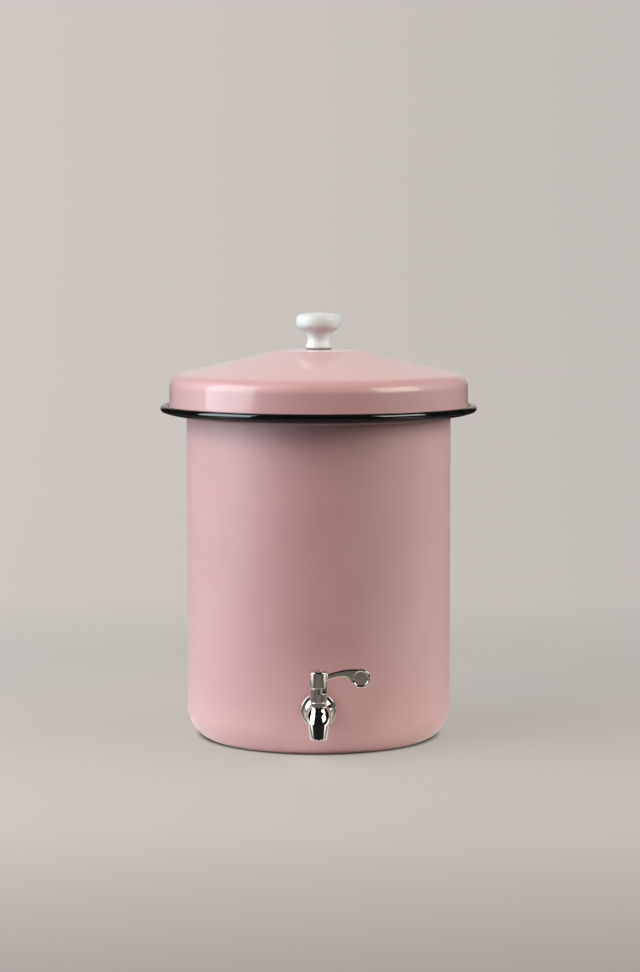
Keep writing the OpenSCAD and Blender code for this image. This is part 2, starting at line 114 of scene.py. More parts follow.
# Knob, with heights measured from its foot at KNOB_Z
knob_lo, knob_hi = extent("lid_knob")
KNOB_Z = knob_lo[2]
KNOB_H = knob_hi[2] - knob_lo[2]
KNOB_R = knob_hi[0]
KNOB_FOOT_R = 13.0
KNOB_WAIST_R = 11.3
KNOB_WAIST_Z = 9.4
KNOB_RIM_Z = 26.6
KNOB_RIM_H = 12.0
KNOB_EDGE = 3.4
KNOB_LIP = 2.3
INSERT_R = 4.5
INSERT_HOLE = 16.0
KNOB_SIDES = 192
GASKET_EASE = 0.35
GASKET_SIDES = 160

# Filter pot
pot_lo, pot_hi = extent("filter_pot")
REST_GAP = 0.2
POT_PLAY = 6.0
POT_RIM_R = pot_hi[0]
POT_RIM_Z = pot_hi[2]
POT_BOTTOM = pot_lo[2]
POT_SEAT_Z = LEDGE_Z + REST_GAP
POT_R = BODY_R - SHEET - POT_PLAY
POT_TAPER = 14.0
POT_WALL = 14.0
POT_FLOOR = 16.0
POT_EDGE = 4.0
POT_CORNER = 9.0
POT_SIDES = 256

# Tap flange, shank, nut and washer
flange_lo, flange_hi = extent("tap_flange")
nut_lo, nut_hi = extent("shank_nut")
washer_lo, washer_hi = extent("inner_washer")
body_hi = extent("tap_body")[1]
TAP_Z = (flange_lo[2] + flange_hi[2]) / 2
FLANGE_R = flange_hi[0]
FLANGE_S = -flange_hi[1] - BODY_R
BARREL_S = -flange_lo[1] - BODY_R
FLANGE_EDGE = 1.0
FLANGE_RING = 3.6
GROOVE_R = 0.35
GROOVE_SHIFT = (0.2, 0.1)
STEP_R = 0.5
CONE_EDGE = (0.3, 0.1)
FLANGE_SIDES = 192
SHANK_R = 8.0
SHANK_BORE = 4.0
SHANK_S = -body_hi[1] - BODY_R
SHANK_EASE = 0.3
SHANK_PLAY = 0.2
THREAD_PITCH = 1.5
THREAD_DEPTH = 0.7
THREAD_STEPS = 8
THREAD_START = 0.6
THREAD_STOP = 0.1
SHANK_SIDES = 96
WASHER_SIDES = 128
NUT_PLAY = 0.05
NUT_EASE = 0.6
NUT_FACE_EASE = 0.3
NUT_CHAMFER = 0.15
NUT_CHAMFER_ANGLE = 30
NUT_SIDES = 96

# Tap casting
collar_lo, collar_hi = extent("valve_collar")
REACH = -(collar_lo[1] + collar_hi[1]) / 2 - BODY_R
BARREL_R = 9.5
BARREL_LAP = 0.3
ELBOW_RADIUS = 12.0
ELBOW_BEND = 14.0
ELBOW_TURN = math.radians(70)
ELBOW_LEAD = 8.0
ELBOW_START = REACH - ELBOW_LEAD
SPOUT_R = 8.5
SPOUT_L = 13.0
TAPER_LEAD = 6.0
TAPER_POWER = 1.3
PAST_MOUTH = 1.2
MOUTH_WALL = 2.0
MOUTH_EASE = 0.9
MOUTH_BORE_EASE = 0.6
PORT_R = 3.3
PORT_L = 22.0
PORT_FLARE_L = 0.8 * SPOUT_L
BOSS_TOP = body_hi[2]
BOSS_STEP = 0.5
BOSS_FILLET = 2.4
CASTING_CELL = 0.55
CASTING_ROOM = ((1.5, 3.0, 3.5), (1.5, 1.0, 1.5))
WELL_R = 6.5
WELL_DROP = 7.4

# Valve collar
COLLAR_R = collar_hi[0]
COLLAR_TOP = collar_hi[2]
COLLAR_SPIGOT_R = 6.45
COLLAR_LAP = 2.0
COLLAR_BORE_R = 4.05
COLLAR_BORE_EASE = 0.25
SLOT_H = 4.9
SLOT_HALF = 1.35
SLOT_EASE = 0.35
COLLAR_BOX_R = 9.5
COLLAR_CELL = 0.32

# Lever, with heights measured from the foot of its cap, and its screw
lever_hi = extent("lever")[1]
screw_lo, screw_hi = extent("lever_screw")
PAD_X = 41.0
PAD_Z = 9.1
PAD_R = 9.4
PAD_FILLET = 1.5
CAP_R = 9.0
CAP_H = 16.4
CAP_BEVEL = 1.2
CAP_EASE = 0.35
CAP_Z = lever_hi[2] - PAD_Z - PAD_R
ARM_T = 6.0
ARM_H = 7.8
ARM_ROOT = 2.0
ARM_LEAD = 4.0
ARM_CREST = 80.0
ARM_BELLY = 38.0
ARM_FILLET = 7.0
ARM_EASE = 1.1
CAP_FILLET = 1.6
LEVER_BOX_R = 10.2
LEVER_BOX_FOOT = -1.6
LEVER_CELL = 0.42
DISH_H = 0.7
DISH_EDGE = 2.2
SOCKET_H = 10.4
SOCKET_HALF = 2.75
SCREW_R = 1.5
SCREW_CLEARANCE_R = 1.55
SCREW_HEAD_R = 3.5
SCREW_HOLE_R = 3.8
SCREW_HEAD_H = 1.9
SCREW_HEAD_EASE = 0.35
SCREW_SEAT_Z = screw_hi[2] - SCREW_HEAD_H
SCREW_LAP = 0.5
SCREW_SLOT_HALF = 0.5
SCREW_SLOT_H = 1.0
SCREW_SLOT_EASE = 0.15
SCREW_BOX_R = 4.2
SCREW_ROOM = (0.5, 0.6)
SCREW_CELL = 0.22

# Small easings of edges and joins, shared by several pieces
EASE = 0.3
FINE_EASE = 0.2
CUT_EASE = 0.5
JOIN = 0.1

# How far a cut runs past the piece that it cuts, and the room at the end of a grid box
PAST = 5.0
ROOM = 1.0


# ------------------------------------------------------------- shape functions

TINY = 1e-6
SETTLE_ROUNDS = 3


def arc(centre, rx, ry, start, end, n=12):
    """Points on an arc of n steps about centre, with radii rx and ry, between two angles in degrees."""
    t = np.radians(np.linspace(start, end, n + 1))
    return np.column_stack([centre[0] + rx * np.cos(t), centre[1] + ry * np.sin(t)])


def outline(*parts):
    """One list of (r, z) points out of arcs and single points."""
    return np.vstack([np.atleast_2d(part) for part in parts])


def beside(path, t):
    """The path moved to its left by t, a number or one value per point."""
    step = np.gradient(path, axis=0)
    left = np.column_stack([-step[:, 1], step[:, 0]])
    return path + t * left / np.linalg.norm(left, axis=1)[:, None]


def lathe(points, sides):
    """Vertices and faces of a closed (r, z) outline turned about Z. Points on the axis become poles.

    The outline can run either way round: it is turned so that the faces look outwards.
    """
    r, z = points[:, 0], points[:, 1]
    if np.sum(r * np.roll(z, -1) - np.roll(r, -1) * z) < 0:
        r, z = r[::-1], z[::-1]
    turn = np.arange(sides) * 2 * math.pi / sides
    vertices, rings = [], []
    for radius, height in zip(r, z):
        first = len(vertices)
        if radius < TINY:
            vertices.append([0, 0, height])
            rings.append([first] * sides)
        else:
            vertices += np.column_stack(
                [radius * np.cos(turn), radius * np.sin(turn), np.full(sides, height)]).tolist()
            rings.append(range(first, first + sides))
    faces = []
    for low, high in zip(rings, rings[1:] + rings[:1]):
        for j in range(sides):
            k = (j + 1) % sides
            corners = list(dict.fromkeys([low[j], low[k], high[k], high[j]]))
            if len(corners) > 2:
                faces.append(corners)
    return np.array(vertices), faces


def net_points(rows, sides):
    """Vertices of rings about Z. A row is (r, z), and each can be a number or one value per side."""
    turn = np.arange(sides) * 2 * math.pi / sides
    return np.vstack([np.column_stack([r * np.cos(turn), r * np.sin(turn), z + 0 * turn])
                      for r, z in rows])


def net_faces(rows, sides, closed=True):
    """Quads between neighbouring rings, and from the last ring to the first if it is closed."""
    return [[i * sides + j, i * sides + (j + 1) % sides,
             (i + 1) % rows * sides + (j + 1) % sides, (i + 1) % rows * sides + j]
            for i in range(rows if closed else rows - 1) for j in range(sides)]


def on_shank(points):
    """From the shank's axis, where local +Z leads out of the wall, to the frame."""
    return np.column_stack([points[:, 0], -BODY_R - points[:, 2], TAP_Z + points[:, 1]])


def on_valve(points):
    """From the valve's axis to the frame."""
    return points + [0, -BODY_R - REACH, 0]


def blend_in(a, b, k):
    """The union of two distance fields, with a fillet of about k between them."""
    h = np.clip(0.5 + 0.5 * (b - a) / k, 0, 1)
    return b + (a - b) * h - k * h * (1 - h)


def cut_by(a, b, k):
    """Field a without field b, with the new edge eased by about k."""
    return -blend_in(-a, b, k)


def column(p, radius, low, high, ease):
    """An upright round bar on the local Z axis, with eased edges."""
    side = np.hypot(p[:, 0], p[:, 1]) - radius + ease
    ends = np.maximum(low - p[:, 2], p[:, 2] - high) + ease
    outside = np.hypot(np.maximum(side, 0), np.maximum(ends, 0))
    return outside + np.minimum(np.maximum(side, ends), 0) - ease


def surface(field, low, high, cell):
    """Vertices and quads of the surface where a distance field is zero, within a box.

    Each grid cell that the surface passes through gets one vertex, in the middle of
    its crossed edges, and each crossed edge gets a quad between its four cells.
    """
    low, high = np.array(low, float), np.array(high, float)
    count = np.ceil((high - low) / cell).astype(int) + 1
    grid = np.stack(np.meshgrid(*[low[i] + cell * np.arange(count[i]) for i in range(3)],
                                indexing="ij"), -1)
    value = field(grid.reshape(-1, 3)).reshape(count)
    cells = count - 1
    total, hits = np.zeros([*cells, 3]), np.zeros(cells)
    for axis in range(3):
        along = np.eye(3, dtype=int)[axis]
        for u in (0, 1):
            for v in (0, 1):
                start = u * np.roll(along, 1) + v * np.roll(along, 2)
                a = value[tuple(slice(s, s + c) for s, c in zip(start, cells))]
                b = value[tuple(slice(s, s + c) for s, c in zip(start + along, cells))]
                crossed = (a < 0) != (b < 0)
                share = np.where(crossed, a / np.where(crossed, a - b, 1), 0)
                total += crossed[..., None] * (start + share[..., None] * along)
                hits += crossed
    active = hits > 0
    index = np.full(cells, -1)
    index[active] = np.arange(active.sum())
    points = low + cell * (np.argwhere(active) + total[active] / hits[active][:, None])
    for _ in range(SETTLE_ROUNDS):
        points = settle(field, points, cell)
    faces = []
    for axis in range(3):
        u, v = (axis + 1) % 3, (axis + 2) % 3
        along = np.eye(3, dtype=int)[axis]
        a = value[tuple(slice(0, n - s) for s, n in zip(along, count))] < 0
        b = value[tuple(slice(s, n) for s, n in zip(along, count))] < 0
        for outward in (True, False):
            edges = np.argwhere((a & ~b) if outward else (b & ~a))
            ring = []
            for du, dv in ((-1, -1), (0, -1), (0, 0), (-1, 0)):
                at = edges.copy()
                at[:, u] += du
                at[:, v] += dv
                ring.append(index[tuple(at.T)])
            faces += np.column_stack(ring if outward else ring[::-1]).tolist()
    return points, faces


def settle(field, points, cell):
    """Points moved onto the surface of a field, by at most a part of a cell."""
    h, reach = 0.05 * cell, 0.4 * cell
    here = field(points)
    slope = np.column_stack([(field(points + h * e) - field(points - h * e)) / (2 * h)
                             for e in np.eye(3)])
    step = here / np.maximum((slope ** 2).sum(1), TINY)
    return points - np.clip(step, -reach, reach)[:, None] * slope


def polygon_distance(p, corners):
    """Signed distance from 2-D points to a polygon, negative inside."""
    nearest = np.full(len(p), np.inf)
    inside = np.zeros(len(p), bool)
    for a, b in zip(corners, np.roll(corners, -1, axis=0)):
        side, to = b - a, p - a
        t = np.clip(to @ side / (side @ side), 0, 1)
        nearest = np.minimum(nearest, ((to - t[:, None] * side) ** 2).sum(1))
        spans = (a[1] > p[:, 1]) != (b[1] > p[:, 1])
        rise = side[1] or 1.0
        inside ^= spans & (p[:, 0] < side[0] * to[:, 1] / rise + a[0])
    return np.where(inside, -1, 1) * np.sqrt(nearest)


# ------------------------------------------------------------------- materials

class Finish:
    """A node material round one Principled shader, textured in the piece's own coordinates."""

    def __init__(self, name, roughness, **values):
        self.material = bpy.data.materials.new(name)
        self.material.use_nodes = True
        self.tree = self.material.node_tree
        self.shader = self.tree.nodes["Principled BSDF"]
        self.place = self.tree.nodes.new("ShaderNodeTexCoord").outputs["Object"]
        for socket, value in values.items():
            self.shader.inputs[socket.replace("_", " ")].default_value = value
        self.roughness = roughness
        self.height = None

    def node(self, kind, inputs=None, **settings):
        """A new node, with links or values for its inputs, and its settings."""
        made = self.tree.nodes.new(kind)
        for key, value in settings.items():
            setattr(made, key, value)
        for key, value in (inputs or {}).items():
            if isinstance(value, bpy.types.NodeSocket):
                self.tree.links.new(value, made.inputs[key])
            else:
                made.inputs[key].default_value = value
        return made

    def noise(self, size, detail, stretch=(1, 1, 1)):
        """Noise of detail octaves whose patches are about size mm across, or stretch times as long."""
        scale = [1 / (size * MM * s) for s in stretch]
        place = self.node("ShaderNodeMapping", {"Vector": self.place, "Scale": scale})
        made = self.node("ShaderNodeTexNoise",
                         {"Vector": place.outputs[0], "Scale": 1.0, "Detail": detail})
        return made.outputs["Fac"]

    def between(self, fac, low, high, start=0.35, end=0.65):
        """A number that runs from low to high as fac runs from start to end."""
        made = self.node("ShaderNodeMapRange", {"Value": fac, "From Min": start, "From Max": end,
                                                "To Min": low, "To Max": high})
        return made.outputs["Result"]

    def colours(self, fac, first, second):
        """A colour that runs from first to second as fac runs over its middle."""
        made = self.node("ShaderNodeMix", {"Factor": self.between(fac, 0, 1),
                                           "A": (*first, 1), "B": (*second, 1)}, data_type="RGBA")
        return made.outputs["Result"]

    def paint(self, colour):
        """Gives the shader its colour."""
        self.tree.links.new(colour, self.shader.inputs["Base Color"])

    def vary_roughness(self, fac, by):
        """Lets the roughness run up and down with fac, by that much either way."""
        value = self.between(fac, self.roughness - by, self.roughness + by)
        self.tree.links.new(value, self.shader.inputs["Roughness"])

    def raise_by(self, fac, depth):
        """Adds a relief of about depth millimetres."""
        given = {"Height": fac, "Distance": depth * MM, "Strength": 1.0}
        if self.height:
            given["Normal"] = self.height
        self.height = self.node("ShaderNodeBump", given).outputs["Normal"]
        for socket in ("Normal", "Coat Normal"):
            self.tree.links.new(self.height, self.shader.inputs[socket])


PINK = (0.64, 0.36, 0.365)
PINK_DEEP = (0.61, 0.335, 0.34)


def pink_enamel(name, roughness, **values):
    """Pink enamel, hardly wavy, with a faint orange peel."""
    made = Finish(name, roughness, **values)
    made.paint(made.colours(made.noise(70, 3), PINK, PINK_DEEP))
    made.vary_roughness(made.noise(25, 4), 0.03)
    made.raise_by(made.noise(9, 1), 0.012)
    made.raise_by(made.noise(1.1, 2), 0.0025)
    return made.material


def black_enamel(name, roughness, ior):
    made = Finish(name, roughness, IOR=ior)
    made.paint(made.colours(made.noise(12, 3), (0.003, 0.0025, 0.003), (0.006, 0.005, 0.005)))
    made.vary_roughness(made.noise(5, 3), 0.02)
    made.raise_by(made.noise(6, 2), 0.012)
    return made.material


def white_glaze():
    made = Finish("white_glaze", 0.35, Coat_Weight=0.2, Coat_Roughness=0.08, IOR=1.4)
    made.paint(made.colours(made.noise(14, 4), (0.66, 0.67, 0.665), (0.63, 0.64, 0.63)))
    made.vary_roughness(made.noise(4, 3), 0.03)
    made.raise_by(made.noise(7, 1), 0.02)
    made.raise_by(made.noise(0.9, 2), 0.002)
    return made.material


def fired_clay():
    made = Finish("fired_clay", 0.9)
    blotch = made.colours(made.noise(30, 6), (0.50, 0.28, 0.175), (0.41, 0.215, 0.13))
    grain = made.between(made.noise(1.3, 4), 0, 0.35, 0.5, 0.72)
    speck = made.node("ShaderNodeMix", {"Factor": grain, "A": blotch, "B": (0.60, 0.40, 0.28, 1)},
                      data_type="RGBA")
    made.paint(speck.outputs["Result"])
    made.vary_roughness(made.noise(3, 3), 0.06)
    made.raise_by(made.noise(5, 4, (12, 12, 0.5)), 0.12)
    made.raise_by(made.noise(1.2, 5), 0.10)
    return made.material


def steel(name, roughness, colour, shade, stretch=(1, 1, 1), depth=0.003):
    """Stainless steel. Its fine lines are drawn out by stretch, and depth is their relief in mm."""
    made = Finish(name, roughness, Metallic=1.0)
    made.paint(made.colours(made.noise(6, 4), colour, shade))
    lines = made.noise(0.5, 3, stretch)
    made.vary_roughness(lines, roughness * 0.25)
    made.raise_by(made.noise(8, 1), 0.02)
    made.raise_by(lines, depth)
    return made.material


def insert_brass():
    made = Finish("insert_brass", 0.3, Metallic=1.0)
    made.paint(made.colours(made.noise(3, 4), (0.71, 0.53, 0.24), (0.62, 0.44, 0.19)))
    lines = made.noise(0.4, 2, (20, 20, 1))
    made.vary_roughness(lines, 0.06)
    made.raise_by(lines, 0.01)
    return made.material


def rubber(name, first, second):
    made = Finish(name, 0.62)
    made.paint(made.colours(made.noise(4, 4), first, second))
    made.vary_roughness(made.noise(1.5, 4), 0.06)
    made.raise_by(made.noise(0.6, 3), 0.015)
    return made.material


def white_plastic():
    made = Finish("white_plastic", 0.45)
    made.paint(made.colours(made.noise(5, 3), (0.82, 0.82, 0.80), (0.78, 0.775, 0.75)))
    made.vary_roughness(made.noise(1, 3), 0.05)
    made.raise_by(made.noise(0.8, 2), 0.008)
    return made.material


# The satin pink is the body's and the glossy pink the lid's. The dull enamel is the
# bead's underside. The knob's ring is black rubber, given a lighter grey as painted light for the light
# that it catches.
finishes = {
    "pink_satin": pink_enamel("pink_satin", 0.50, IOR=1.7, Sheen_Weight=0.3, Sheen_Roughness=0.4),
    "pink_gloss": pink_enamel("pink_gloss", 0.45, IOR=1.6, Sheen_Weight=0.2, Sheen_Roughness=0.4,
                              Coat_Weight=0.8, Coat_Roughness=0.08),
    "black_enamel": black_enamel("black_enamel", 0.06, 1.72),
    "dull_enamel": black_enamel("dull_enamel", 0.40, 1.25),
    "white_glaze": white_glaze(),
    "fired_clay": fired_clay(),
    "polished_steel": steel("polished_steel", 0.045, (0.83, 0.79, 0.76), (0.79, 0.75, 0.72)),
    "satin_steel": steel("satin_steel", 0.11, (0.80, 0.72, 0.65), (0.74, 0.66, 0.59),
                         stretch=(1, 1, 9), depth=0.0012),
    "plain_steel": steel("plain_steel", 0.30, (0.56, 0.56, 0.56), (0.50, 0.50, 0.50),
                         stretch=(12, 1, 12)),
    "insert_brass": insert_brass(),
    "black_rubber": rubber("black_rubber", (0.030, 0.029, 0.028), (0.045, 0.043, 0.041)),
    # A lighter copy of the black rubber for the knob's ring: painted light
    "rubber_painted_light": rubber("rubber_painted_light", (0.16, 0.14, 0.13), (0.20, 0.18, 0.165)),
    "white_plastic": white_plastic(),
}


# ---------------------------------------------------------------------- pieces

def add(name, shape, body, slot, nodes, finish=None, crease=32):
    """A smooth-shaded piece on a body. It stands for the given CAD nodes."""
    vertices, faces = shape
    mesh = bpy.data.meshes.new(name)
    mesh.from_pydata((np.asarray(vertices) * MM).tolist(), [], faces)
    mesh.validate()
    mesh.shade_smooth()
    mesh.set_sharp_from_angle(angle=math.radians(crease))
    mesh.materials.append(finishes[finish or slot])
    thing = bpy.data.objects.new(name, mesh)
    bpy.context.scene.collection.objects.link(thing)
    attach(thing, body)
    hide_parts(*nodes)


def bead_path():
    """The outer face under the bead, and the rest of the rolled rim that the bead leaves bare."""
    lean = math.radians(ROLL_START)
    centre = FLARE_C + (FLARE_OUT - ROLL_R) * np.array([math.sin(lean), -math.cos(lean)])
    flare = arc(FLARE_C, FLARE_OUT, FLARE_OUT, BEAD_START - 90, ROLL_START - 90, 14)
    roll = arc(centre, ROLL_R, ROLL_R, ROLL_START - 90, ROLL_END, ROLL_STEPS)
    covered = np.linspace(ROLL_START - 90, ROLL_END, ROLL_STEPS + 1) <= BEAD_END
    return outline(flare, roll[covered][1:]), roll[~covered]


def receptacle():
    """The pail: its outer face, and the inner face at one sheet from it."""
    centre = (BODY_R - BASE_ROUND, BASE_ROUND * math.cos(math.radians(BASE_EDGE)))
    neck = (BODY_R + NECK_ROUND, UNDER_Z - NECK_ROUND)
    covered, bare = bead_path()
    path = outline(
        (0, 0), (centre[0] - BASE_INSET, 0),
        arc(centre, BASE_ROUND, BASE_ROUND, BASE_EDGE - 90, 0, 24),
        arc(neck, NECK_ROUND, NECK_ROUND, 180, 90),
        arc(FLARE_C, FLARE_OUT, FLARE_OUT, -90, BEAD_START - 90, 3)[:-1],
        covered, bare,
    )
    inner = beside(path, SHEET)
    inner[0] = (0, SHEET)
    return lathe(outline(path, inner[::-1]), WALL_SIDES)


def rim_bead(under):
    """A thin skin over the rolled rim, or over the flare under it. It runs out at both edges."""
    path = bead_path()[0]
    step = np.arange(len(path))
    share = np.clip(np.minimum(step, step[::-1]) / BEAD_EDGE_POINTS, BEAD_EDGE_SHARE, 1)
    skin = beside(path, -(BEAD_T * share)[:, None])
    part = slice(None, BEAD_SPLIT + 1) if under else slice(BEAD_SPLIT, None)
    return lathe(outline(path[part], skin[part][::-1]), WALL_SIDES)


def filter_pot():
    """The clay pot, tapered below the rim that it hangs by."""
    bore_r = POT_R - POT_WALL
    foot_r = POT_R - POT_TAPER
    floor_z = POT_BOTTOM + POT_FLOOR
    return lathe(outline(
        (0, POT_BOTTOM),
        arc((foot_r - POT_CORNER, POT_BOTTOM + POT_CORNER), POT_CORNER, POT_CORNER, -90, 0),
        (POT_R, POT_SEAT_Z),
        arc((POT_RIM_R - POT_EDGE, POT_SEAT_Z + POT_EDGE), POT_EDGE, POT_EDGE, -90, 0),
        arc((POT_RIM_R - POT_EDGE, POT_RIM_Z - POT_EDGE), POT_EDGE, POT_EDGE, 0, 90),
        arc((bore_r + POT_EDGE, POT_RIM_Z - POT_EDGE), POT_EDGE, POT_EDGE, 90, 180),
        arc((foot_r - POT_WALL - POT_CORNER, floor_z + POT_CORNER), POT_CORNER, POT_CORNER, 0, -90),
        (0, floor_z),
    ), POT_SIDES)


def lid_shell():
    """The lid: wall, shoulder, cone and a low disc, in one sheet, with a wired hem at its foot."""
    shoulder = (LID_R - SHOULDER_R, SHOULDER_Z)
    top = outline(
        (LID_R, LID_FOOT + 2 * HEM_R),
        arc(shoulder, SHOULDER_R, SHOULDER_R, 0, 90 - CONE_ANGLE, 32),
        arc((SEAT_R, DISC_Z), DISC_R - SEAT_R, DISC_RISE, 0, 90, 16),
        (LID_HOLE_R, LID_TOP),
    )
    hem = (LID_R + HEM_PROUD - HEM_R, LID_FOOT + HEM_R)
    outer = math.degrees(math.acos((HEM_R - HEM_PROUD) / HEM_R))
    inner = math.degrees(math.acos((HEM_R - HEM_PROUD - LID_WALL) / HEM_R))
    return lathe(outline(
        top, beside(top, LID_WALL)[::-1],
        arc(hem, HEM_R, HEM_R, inner, 360 + outer, 28),
    ), WALL_SIDES)


def lid_knob():
    """The knob, with the hole in its foot that takes the insert."""
    flare = KNOB_FOOT_R - KNOB_WAIST_R + KNOB_LIP
    cup_r = KNOB_R + KNOB_LIP
    cup_h = KNOB_RIM_Z - KNOB_RIM_H / 2 - KNOB_WAIST_Z
    brim = (KNOB_R - KNOB_EDGE, KNOB_RIM_Z)
    foot = arc((KNOB_FOOT_R - KNOB_LIP / 2, KNOB_LIP / 2), KNOB_LIP / 2, KNOB_LIP / 2, -90, 20)
    waist = arc((KNOB_WAIST_R + flare, KNOB_WAIST_Z), flare, KNOB_WAIST_Z - KNOB_LIP, 230, 180)
    cup = arc((cup_r, KNOB_WAIST_Z), cup_r - KNOB_WAIST_R, cup_h, 180, 118)
    brim_low = arc(brim, KNOB_EDGE, KNOB_RIM_H / 2, -55, 0)
    brim_high = arc(brim, KNOB_EDGE, KNOB_H - KNOB_RIM_Z - KNOB_LIP, 10, 65)
    crown = arc((0, KNOB_H - KNOB_EDGE), KNOB_R - KNOB_LIP / 2, KNOB_EDGE, 37, 90)
    points, faces = lathe(outline(
        (INSERT_R, 0), foot, waist, cup, brim_low, brim_high, crown,
        (0, INSERT_HOLE), (INSERT_R, INSERT_HOLE),
    ), KNOB_SIDES)
    return points + [0, 0, KNOB_Z], faces


def ring(inner, outer, low, high, ease=FINE_EASE):
    """The outline of a flat ring with eased edges."""
    return outline(
        arc((inner + ease, low + ease), ease, ease, 180, 270, 4),
        arc((outer - ease, low + ease), ease, ease, 270, 360, 4),
        arc((outer - ease, high - ease), ease, ease, 0, 90, 4),
        arc((inner + ease, high - ease), ease, ease, 90, 180, 4),
    )


def knob_gasket():
    return lathe(ring(LID_HOLE_R, KNOB_FOOT_R, LID_TOP, KNOB_Z, GASKET_EASE), GASKET_SIDES)


def inner_washer():
    low, high = -washer_hi[1] - BODY_R, -washer_lo[1] - BODY_R
    points, faces = lathe(ring(SHANK_R + SHANK_PLAY, washer_hi[0], low, high), WASHER_SIDES)
    return on_shank(points), faces


def tap_flange():
    """The flange: a round edge, a shallow dish, a small step and a cone up to the barrel."""
    bore_r = SHANK_R + SHANK_PLAY
    ring_r = FLANGE_R - FLANGE_RING
    cone_r = FLANGE_R - 2 * FLANGE_RING
    middle = FLANGE_S + FLANGE_EDGE
    # The small arc at the dish's foot folds under the step by a few tenths, inside the flange
    points, faces = lathe(outline(
        (bore_r, FLANGE_S),
        arc((FLANGE_R - FLANGE_EDGE, middle), FLANGE_EDGE, FLANGE_EDGE, -90, 90),
        arc((ring_r, middle + GROOVE_R), GROOVE_R, GROOVE_R, 20, 135, 5)[::-1] - GROOVE_SHIFT,
        arc((ring_r - FLANGE_EDGE, middle + FLANGE_EDGE - STEP_R), STEP_R, STEP_R, 20, 110, 6),
        (cone_r + CONE_EDGE[0], BARREL_S - CONE_EDGE[1]),
        (cone_r, BARREL_S),
        (bore_r, BARREL_S),
    ), FLANGE_SIDES)
    return on_shank(points), faces


def tap_shank():
    """The threaded shank, from inside the vessel to the casting."""
    rows = np.arange(SHANK_S + THREAD_START, BARREL_S - THREAD_STOP, THREAD_PITCH / THREAD_STEPS)
    core_r = SHANK_R - THREAD_DEPTH
    points, faces = lathe(outline(
        (SHANK_BORE, SHANK_S + SHANK_EASE), (SHANK_BORE + SHANK_EASE, SHANK_S),
        (core_r - SHANK_PLAY, SHANK_S),
        np.column_stack([np.full(len(rows), SHANK_R), rows]),
        (core_r, BARREL_S), (SHANK_BORE, BARREL_S),
    ), SHANK_SIDES)
    r, turn = np.hypot(points[:, 0], points[:, 1]), np.arctan2(points[:, 1], points[:, 0])
    phase = (points[:, 2] / THREAD_PITCH + turn / (2 * math.pi)) % 1
    # Once a pitch, the groove has a flat floor a quarter of the pitch wide, and flanks as wide
    on_thread = r > SHANK_R - TINY
    groove = np.clip(1.5 - 4 * abs(phase - 0.5), 0, 1) * on_thread
    scale = (r - THREAD_DEPTH * groove) / r
    return on_shank(points * np.column_stack([scale, scale, np.ones(len(r))])), faces


def shank_nut():
    """A hexagon nut with its corners chamfered."""
    low, high = -nut_hi[1] - BODY_R, -nut_lo[1] - BODY_R
    half_flats = (nut_hi[2] - nut_lo[2]) / 2
    turn = np.arange(NUT_SIDES) * 2 * math.pi / NUT_SIDES
    hexagon = half_flats / np.cos((turn + math.pi / 2) % (math.pi / 3) - math.pi / 6)
    chamfer = (hexagon - half_flats) * math.tan(math.radians(NUT_CHAMFER_ANGLE)) + NUT_CHAMFER
    bore = SHANK_R + NUT_PLAY
    mouth = bore + NUT_EASE
    face = half_flats - NUT_FACE_EASE
    rows = [(bore, low + NUT_EASE), (mouth, low), (face, low), (hexagon, low + chamfer),
            (hexagon, high - chamfer), (face, high), (mouth, high), (bore, high - NUT_EASE)]
    return on_shank(net_points(rows, NUT_SIDES)), net_faces(len(rows), NUT_SIDES)


ELBOW_C = np.array([ELBOW_START, TAP_Z - ELBOW_BEND])
ELBOW_LEN = ELBOW_BEND * ELBOW_TURN
SPOUT_DIR = np.array([math.cos(ELBOW_TURN), -math.sin(ELBOW_TURN)])
ELBOW_END = ELBOW_C + ELBOW_BEND * np.array([math.sin(ELBOW_TURN), math.cos(ELBOW_TURN)])
MOUTH = ELBOW_END + SPOUT_L * SPOUT_DIR


